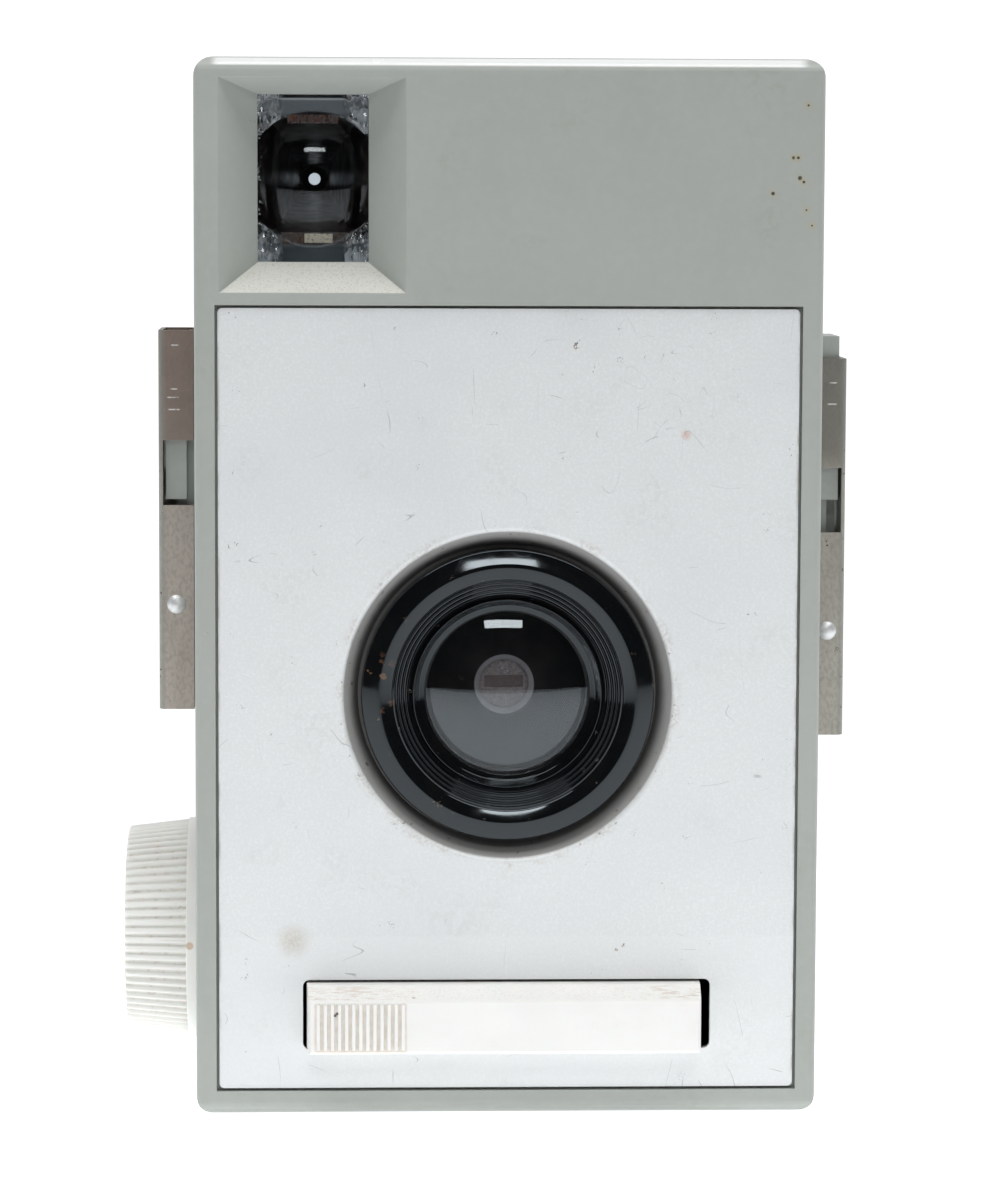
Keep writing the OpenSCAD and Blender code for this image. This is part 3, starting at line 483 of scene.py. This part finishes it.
def brass():
    s = steel("brass", srgb(196, 170, 110), 0.25, (1, 12, 12))
    s.tint(s.patches(1.5, 0.45, 0.7, 7), srgb(128, 104, 64), 0.6)
    return s.done()


def spool_black():
    s = Shader("spool_black", srgb(34, 34, 36), 0.35)
    s.tint(s.patches(3, 0.35, 0.65), srgb(50, 49, 48), 0.5)
    s.tint(s.hairs(4, 0.03, 4), srgb(150, 148, 144), 0.6)
    s.worn(s.patches(2, 0.3, 0.7, 6), 0.15)
    s.raise_by(s.noise(0.6, 2, seed=8), 0.008)
    return s.done()


def ivory(name, tone):
    """Returns the shader, which still has to be done."""
    s = Shader(name, tone, 0.3, Subsurface_Weight=0.08, Subsurface_Scale=0.4 * MM)
    s.tint(s.patches(8, 0.35, 0.65), darker(tone, 0.94), 0.6)
    s.tint(s.both(s.patches(2.2, 0.55, 0.8, 3), s.patches(0.25, 0.4, 0.6, 4)), srgb(212, 206, 194), 0.2)
    s.worn(s.patches(3, 0.3, 0.7, 8), 0.1)
    s.raise_by(s.noise(1.8, 2, seed=10), 0.008)
    return s


def ivory_bar():
    s = ivory("ivory_bar", srgb(236, 236, 233))
    left, right, bottom = low("release_bar", X), high("release_bar", X), low("release_bar", Z)
    bar_top = LENS_Z - 30.45                   # upper edge of the part that stands proud
    # worn and dirty along the upper bevel, most at the two ends
    ends = s.math("MAXIMUM", s.band(X, left + 14, left + 3), s.band(X, right - 7, right - 4))
    upper = s.both(s.band(Z, bar_top - 1.3, bar_top - 1.0), s.band(Z, bar_top + 0.1, bar_top - 0.3))
    smear = s.patches(0.3, 0.46, 0.66, 12, 4, (5, 1, 1))
    s.tint(s.both(ends, upper, smear), srgb(190, 166, 146), 0.5)
    s.tint(s.both(upper, s.patches(0.16, 0.5, 0.7, 14, 4, (1.6, 1, 1))), srgb(196, 190, 180), 0.4)
    # dirt between the ribs
    ribs = s.both(s.band(X, left + 0.7, left + 1.0), s.band(X, left + 10.6, left + 10.3),
                  s.band(Y, FRONT - 4.2, FRONT - 4.02), s.band(Z, bottom + 0.3, bottom + 0.7),
                  s.band(Z, bar_top - 1.4, bar_top - 1.6))
    s.tint(ribs, srgb(214, 205, 192), 0.6)
    s.tint(s.both(ribs, s.patches(0.9, 0.35, 0.65, 16, 4)), srgb(198, 184, 170), 0.35)
    # a few black spots on its face
    for x, z, radius in ((-9.9, 13.4, 0.24), (-9.7, 13.5, 0.18), (-16.8, 13.8, 0.16), (-18.1, 11.5, 0.15),
                         (-17.9, 11.7, 0.14)):
        spot = s.fade(s.around(Y, (x, 0, z)), radius * 1.25, radius * 0.8)
        s.tint(s.both(spot, s.band(Y, FRONT - 3, FRONT - 3.4)), SOOT, 0.85)
    s.tint(s.specks(4.2, 0.2, 0.3, 18), SOOT, 0.5)
    return s.done()


def ivory_knob():
    s = ivory("ivory_knob", srgb(246, 246, 242))
    reach = s.around(X, (0, KNOB_Y, KNOB_Z))
    # dirt lies below the cone of the rib tops
    along = s.math("SUBTRACT", s.axis(X), GRIP_START * MM)
    cone = s.math("ADD", s.math("MULTIPLY", along, GRIP_TAPER), GRIP_R0 * MM)
    depth = s.math("SUBTRACT", cone, reach)
    groove = s.both(s.fade(depth, 0.14, 0.34), s.fade(depth, 0.9, 0.6))
    s.tint(groove, srgb(216, 212, 202), 0.45)
    s.tint(s.both(groove, s.patches(0.8, 0.5, 0.7, 12, 4)), srgb(170, 158, 138), 0.3)
    s.tint(s.specks(2.2, 0.2, 0.35, 14), srgb(110, 98, 82), 0.7)
    s.tint(s.near((-34.3, KNOB_Y - 12.4, KNOB_Z), 0.5, 0.34), srgb(208, 180, 152), 0.75)
    return s.done()


def red_plastic():
    s = Shader("red_plastic", srgb(170, 18, 16), 0.12, Transmission_Weight=0.7, IOR=1.49)
    s.tint(s.patches(2.5, 0.4, 0.7), srgb(130, 10, 12), 0.5)
    s.worn(s.specks(1.5, 0.14, 0.5, 3), 0.4)
    s.worn(s.hairs(3, 0.03, 5), 0.15)
    s.raise_by(s.noise(2, 1, seed=7), 0.004)
    return s.done()


def felt_black():
    s = Shader("felt_black", srgb(32, 29, 28), 0.95, Sheen_Weight=0.5)
    s.tint(s.noise(0.12, 4, seed=2), srgb(70, 64, 60), 0.6)
    s.raise_by(s.noise(0.15, 4, seed=4), 0.06)
    return s.done()


# ---- mesh tools ----

def corners(points, steps=6):
    """Rounds an outline of points (a, b) or (a, b, cut). The curve begins at cut from the corner."""
    result = []
    for i, point in enumerate(points):
        p = Vector(point[:2])
        cut = point[2] if len(point) > 2 else 0
        if not cut:
            result.append(p)
            continue
        before = (Vector(points[i - 1][:2]) - p).normalized() * cut + p
        after = (Vector(points[(i + 1) % len(points)][:2]) - p).normalized() * cut + p
        for k in range(steps + 1):
            t = k / steps
            result.append(before * (1 - t) ** 2 + p * 2 * t * (1 - t) + after * t * t)
    return result


def arc(a, b, radius, start, end, steps):
    angles = [math.radians(start + (end - start) * k / steps) for k in range(steps + 1)]
    return [(a + radius * math.cos(t), b + radius * math.sin(t)) for t in angles]


def new_piece(name, vertices, faces, body, material, slot, *replaced, sharp=35):
    mesh = bpy.data.meshes.new(name)
    mesh.from_pydata([Vector(v) * MM for v in vertices], [], faces)
    mesh.materials.append(material)
    for polygon in mesh.polygons:
        polygon.use_smooth = True
    mesh.set_sharp_from_angle(angle=math.radians(sharp))
    mesh.validate()
    piece = bpy.data.objects.new(name, mesh)
    bpy.context.scene.collection.objects.link(piece)
    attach(piece, body)
    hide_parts(*replaced)
    return piece


def turned(outline, place, turns=160, wave=None):
    """Vertices and faces of a closed outline of (radius, height) turned round an axis.

    place(radius, angle, height) gives the point, and wave(radius, height, angle) may change the radius.
    """
    vertices, rings = [], []
    for radius, height in outline:
        if radius < 1e-6:
            rings.append([len(vertices)])
            vertices.append(place(0, 0, height))
            continue
        rings.append(list(range(len(vertices), len(vertices) + turns)))
        for k in range(turns):
            angle = 2 * math.pi * k / turns
            vertices.append(place(wave(radius, height, angle) if wave else radius, angle, height))
    faces = []
    for i, a in enumerate(rings):
        b = rings[(i + 1) % len(rings)]
        if len(a) == 1 and len(b) == 1:
            continue
        for k in range(turns):
            n = (k + 1) % turns
            if len(a) == 1:
                faces.append((a[0], b[k], b[n]))
            elif len(b) == 1:
                faces.append((a[k], b[0], a[n]))
            else:
                faces.append((a[k], b[k], b[n], a[n]))
    return vertices, faces


def round_lens_axis(radius, angle, depth):
    return (radius * math.cos(angle), FRONT + depth, LENS_Z + radius * math.sin(angle))


def round_knob_axis(radius, angle, x):
    return (x, KNOB_Y + radius * math.cos(angle), KNOB_Z + radius * math.sin(angle))


# ---- pieces that replace CAD nodes ----

# the outlines of the lens parts are (radius, depth from the front)
BEZEL_REAR = 4.1


def make_bezel(material):
    """Glossy ring with a crowned front and four steps down to the lens."""
    steps, first_r, first_d, step_in, step_down = 4, 12.1, 0.75, 0.44, 0.34
    outer_r, foot_r, foot_d, bore_r = 15.4, 14, 3.22, 10.06
    ridges = []
    for i in range(steps):
        r, d = first_r - step_in * i, first_d + step_down * i
        ridges += [(r, d, 0.05), (r - 0.2, d - 0.1, 0.08), (r - 0.32, d + 0.28, 0.05)]
    crown = [(outer_r, 0.795, 0.28), (13.5, 0.067, 0.42), (12.25, 0.55, 0.1)]
    outline = corners([(foot_r, BEZEL_REAR), (foot_r, foot_d), (outer_r, foot_d)] + crown + ridges +
                      [(bore_r, 2.3), (bore_r, BEZEL_REAR)])
    new_piece("bezel", *turned(outline, round_lens_axis, 224), "camera_front", material, "gloss_black",
              "lens_bezel")


def make_retaining_ring(material):
    """Narrow ring with a rounded front edge and a lip over the lens."""
    outer_r, front_d, bead, lip_r, lip_d, seat_r = 10, 2, 0.12, 8.72, 2.95, 9
    outline = corners([(outer_r, BEZEL_REAR), (outer_r, front_d)] +
                      arc(outer_r - bead, front_d, bead, 0, -111, 6)[1:] +
                      [(9.3, 2.65, 0.14), (lip_r, lip_d - 0.15, 0.05), (lip_r, lip_d), (seat_r, lip_d),
                       (seat_r, BEZEL_REAR)])
    new_piece("retaining_ring", *turned(outline, round_lens_axis, 200), "camera_front", material,
              "gloss_black", "lens_retaining_ring")


def make_lens(material):
    """Meniscus with both faces curved towards the front."""
    edge, front_r, front_d, rear_r, rear_d = 8.88, 21.0, 1.2, 27.0, 3.85
    steps = 28

    def sag(r, radius):
        return radius - math.sqrt(radius * radius - r * r)

    radii = [edge * k / steps for k in range(steps + 1)]
    outline = [(r, front_d + sag(r, front_r)) for r in radii]
    outline += [(r, rear_d + sag(r, rear_r)) for r in reversed(radii)]
    lens = new_piece("lens", *turned(outline, round_lens_axis, 128), "camera_front", material, "lens_glass",
                     "taking_lens")
    lens.visible_shadow = False


def make_knob(material):
    """Tapered grip with rounded ribs, hollow behind, with a hub for the shaft."""
    ribs, groove, roundness, rows = 72, 0.38, 2.6, 8
    rim, rim_r, wall_r = high("wind_knob", X), GRIP_R1 + 0.2, GRIP_R1 - 2
    screw_r, head_r, shaft_r, hub_r = 1.3, 3.4, 2.5, 5
    head_x, shaft_x, hollow_x, hub_x = -39.9, -38.6, -37.2, -34.8

    grip_rows = [GRIP_START + 0.28 + (GRIP_END - GRIP_START - 0.36) * k / rows for k in range(rows + 1)]
    outer_edge = ((0.45, 0.03), (0.2, 0.1), (0.06, 0.19))
    outline = corners([(screw_r, head_x - 0.4), (screw_r, head_x), (head_r, head_x),
                       (head_r, GRIP_START, 0.25), (GRIP_R0 - 0.55, GRIP_START, 0.2)])
    outline += [(GRIP_R0 - inward, GRIP_START + depth) for inward, depth in outer_edge]
    outline += [(GRIP_R0 + GRIP_TAPER * (x - GRIP_START), x) for x in grip_rows]
    outline += corners([(GRIP_R1 - 0.05, GRIP_END - 0.04), (rim_r, GRIP_END, 0.12), (rim_r, rim, 0.12),
                        (wall_r, rim, 0.12), (wall_r, hollow_x, 0.1), (hub_r, hollow_x, 0.1), (hub_r, hub_x),
                        (shaft_r, hub_x), (shaft_r, shaft_x), (screw_r, shaft_x)], 4)

    def wave(radius, x, angle):
        if not GRIP_START + 0.05 < x < GRIP_END - 0.02 or radius < GRIP_R0 - 1:
            return radius
        # rounded ribs with slightly narrower rounded grooves between them
        fade = min(1, (x - GRIP_START) / 0.3)
        return radius - groove * fade * abs(math.cos(angle * ribs / 2)) ** roundness

    new_piece("knob", *turned(outline, round_knob_axis, ribs * 10, wave), "winder", material, "ivory_plastic",
              "wind_knob", sharp=50)


def make_finder_lens(material):
    """Block with a round dish in its rear face and cut corners that catch the light."""
    (x0, y0, z0), (x1, y1, z1) = (tuple(c / MM for c in corner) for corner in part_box("finder_front_lens"))
    dish_r, dish_y = 17.0, y0 + 2.0
    columns, rows = 40, 58
    cut, inset, bevel_slope, least = 2.1, 0.75, 1.1, 0.4

    def edge_drop(x, z):
        """Depth removed where the rear corners are bevelled."""
        over = (abs(x - FINDER_X) - (x1 - x0) / 2) + (abs(z - FINDER_Z) - (z1 - z0) / 2) + cut + inset
        return max(0.0, over) * bevel_slope

    vertices, faces = [], []
    for j in range(rows + 1):
        for i in range(columns + 1):
            x, z = x0 + (x1 - x0) * i / columns, z0 + (z1 - z0) * j / rows
            away = (x - FINDER_X) ** 2 + (z - FINDER_Z) ** 2
            dish = dish_y + dish_r - math.sqrt(max(dish_r ** 2 - away, 0))
            vertices.append((x, max(min(dish, y1 - edge_drop(x, z)), y0 + least), z))

    def at(i, j):
        return j * (columns + 1) + i

    for j in range(rows):
        for i in range(columns):
            faces.append((at(i, j), at(i, j + 1), at(i + 1, j + 1), at(i + 1, j)))
    ring = [at(i, 0) for i in range(columns)] + [at(columns, j) for j in range(rows)]
    ring += [at(i, rows) for i in range(columns, 0, -1)] + [at(0, j) for j in range(rows, 0, -1)]
    front = []
    for k in ring:
        x, _, z = vertices[k]
        front.append(len(vertices))
        vertices.append((x, y0, z))
    for k in range(len(ring)):
        n = (k + 1) % len(ring)
        faces.append((ring[k], ring[n], front[n], front[k]))
    faces.append(tuple(front))
    lens = new_piece("finder_lens", vertices, faces, "camera_front", material, "clear_plastic",
                     "finder_front_lens", sharp=20)
    lens.visible_shadow = False


# ---- CAD nodes that stay ----

def soften(obj, width):
    """Gives a CAD node small rounded edges. Its own mesh is left as it is."""
    weld = obj.modifiers.new("weld", "WELD")
    weld.merge_threshold = 1e-6
    bevel = obj.modifiers.new("bevel", "BEVEL")
    bevel.width = width * MM
    bevel.segments = 2
    bevel.limit_method = "ANGLE"
    bevel.angle_limit = math.radians(32)
    bevel.use_clamp_overlap = True
    normals = obj.modifiers.new("normals", "WEIGHTED_NORMAL")
    normals.keep_sharp = True
    normals.weight = 80


def dress():
    """Gives every CAD node that is shown its material and the width of its rounded edges."""
    grey, steel_bare, black = moulded_grey(), spring_steel(), matte_black()
    clear, spool = clear_plastic().done(), spool_black()
    latch, rivet = latch_metal(), rivet_metal()
    looks = {
        "front_housing": (grey, 0.16), "back_cover": (grey, 0.16), "front_panel": (silver_panel(), 0.12),
        "aperture_plate": (stop_black(), 0.04), "shutter_plate": (steel_bare, 0.06),
        "shutter_pivot": (steel_bare, 0.08), "shutter_blade": (blade_steel(), 0.04),
        "shutter_link": (steel_bare, 0.06), "link_spring": (steel_bare, 0),
        "release_bar": (ivory_bar(), 0.13), "release_pin": (steel_bare, 0.08),
        "light_cone": (dark_plastic(), 0.15), "spool_frame": (black, 0.12),
        "carrier_screws": (steel_bare, 0.1), "supply_stud": (steel_bare, 0.12),
        "upper_spool_spring": (steel_bare, 0.05), "lower_spool_spring": (steel_bare, 0.05),
        "finder_tube": (tunnel_brown(), 0.1), "finder_eyepiece": (clear, 0.06),
        "red_window": (red_plastic(), 0.08), "wind_shaft": (steel_bare, 0.12),
        "knob_screw": (steel_bare, 0.15), "knob_washer": (felt_black(), 0.2),
        "shaft_collar": (brass(), 0.15), "take_up_core": (spool, 0.1), "take_up_flanges": (spool, 0.08),
        "latch_left": (latch, 0.08), "latch_right": (latch, 0.08),
        "latch_rivet_left": (rivet, 0.04), "latch_rivet_right": (rivet, 0.04),
    }
    for name, (material, width) in looks.items():
        obj = nodes[name]
        obj.data.materials.clear()
        obj.data.materials.append(material)
        if width:
            soften(obj, width)
    nodes["finder_eyepiece"].visible_shadow = False
    nodes["red_window"].visible_shadow = False


dress()
black_gloss = gloss_black()
make_bezel(black_gloss)
make_retaining_ring(black_gloss)
make_lens(lens_glass())
make_knob(ivory_knob())
make_finder_lens(finder_plastic())


# ---- floor, light and camera ----

def make_floor():
    front_edge, back_edge, half = -0.44, 0.16, 0.8
    brightest_from, least, most = -0.06, 0.1, 0.78
    mesh = bpy.data.meshes.new("floor")
    mesh.from_pydata([(-half, front_edge, 0), (half, front_edge, 0), (half, back_edge, 0),
                      (-half, back_edge, 0)], [], [(0, 1, 2, 3)])
    s = Shader("floor_white", srgb(240, 241, 243), 0.7, Emission_Color=(0.98, 0.99, 1.0, 1))
    s.tint(s.noise(60, 3), srgb(234, 235, 238), 0.5)
    # glows, most strongly round the object
    s.put(s.surface.inputs["Emission Strength"], s.ramp(s.axis(Y), front_edge, brightest_from, least, most))
    mesh.materials.append(s.done())
    floor = bpy.data.objects.new("floor", mesh)
    bpy.context.scene.collection.objects.link(floor)


def make_world():
    """White backdrop behind the object, dark in front of it, and plain white where the lens sees it."""
    turn_start, turn_end = -0.1, 0.25
    world = bpy.data.worlds.new("studio")
    bpy.context.scene.world = world
    world.use_nodes = True
    tree = world.node_tree
    ray = tree.nodes.new("ShaderNodeLightPath").outputs
    direction = tree.nodes.new("ShaderNodeTexCoord").outputs["Generated"]
    split = tree.nodes.new("ShaderNodeSeparateXYZ")
    tree.links.new(direction, split.inputs[0])
    behind = tree.nodes.new("ShaderNodeMapRange")
    behind.interpolation_type = "SMOOTHSTEP"
    tree.links.new(split.outputs[1], behind.inputs[0])
    behind.inputs[1].default_value, behind.inputs[2].default_value = turn_start, turn_end

    def choose(factor, otherwise, colour):
        mix = tree.nodes.new("ShaderNodeMix")
        mix.data_type = "RGBA"
        tree.links.new(factor, mix.inputs[0])
        for socket, value in ((mix.inputs[6], otherwise), (mix.inputs[7], colour)):
            if isinstance(value, bpy.types.NodeSocket):
                tree.links.new(value, socket)
            else:
                socket.default_value = value
        return mix.outputs[2]

    # dark and backdrop are what mirrors see; fill and dim light the dull surfaces
    dark, fill, dim, backdrop, white = ((v, v, v * 1.02, 1) for v in (0.012, 0.05, 0.48, 0.95, 1.15))
    front = choose(ray["Is Diffuse Ray"], dark, fill)
    back = choose(ray["Is Diffuse Ray"], backdrop, dim)
    shown = choose(behind.outputs[0], front, back)
    shown = choose(ray["Is Camera Ray"], shown, white)
    tree.links.new(shown, tree.nodes["Background"].inputs[0])


def area_light(name, place, aim, size, radiance):
    lamp = bpy.data.lights.new(name, "AREA")
    lamp.shape = "RECTANGLE"
    lamp.size, lamp.size_y = size
    lamp.energy = radiance * math.pi * size[0] * size[1]
    light = bpy.data.objects.new(name, lamp)
    light.location = place
    light.rotation_euler = (Vector(aim) - Vector(place)).to_track_quat("-Z", "Y").to_euler()
    light.visible_camera = False
    bpy.context.scene.collection.objects.link(light)


def make_camera():
    place = Vector((-0.0176, -0.4611, 0.0973))
    forward = Vector((0.03766, 0.99434, -0.09936)).normalized()
    right = Vector((0.99929, -0.03747, 0.0037)).normalized()
    up = right.cross(forward)
    data = bpy.data.cameras.new("camera")
    data.sensor_fit = "VERTICAL"
    data.sensor_height = 36
    data.lens = 123
    camera = bpy.data.objects.new("camera", data)
    camera.matrix_world = Matrix.Translation(place) @ Matrix((right, up, -forward)).transposed().to_4x4()
    bpy.context.scene.collection.objects.link(camera)
    bpy.context.scene.camera = camera


def make_lights():
    """A small softbox above the lens, aimed at it, and a wide one overhead."""
    lens_point = Vector((0, FRONT * MM, LENS_Z * MM))
    rise, distance = math.radians(35.5), 0.9
    above_lens = lens_point + distance * Vector((0, -math.cos(rise), math.sin(rise)))
    area_light("softbox", above_lens, lens_point, (0.345, 0.078), 14)
    area_light("overhead", (0, -0.3, 1), (0, -0.3, 0), (1.4, 0.45), 5.0)


make_floor()
make_world()
make_lights()
make_camera()
bpy.context.scene.view_settings.view_transform = "Standard"
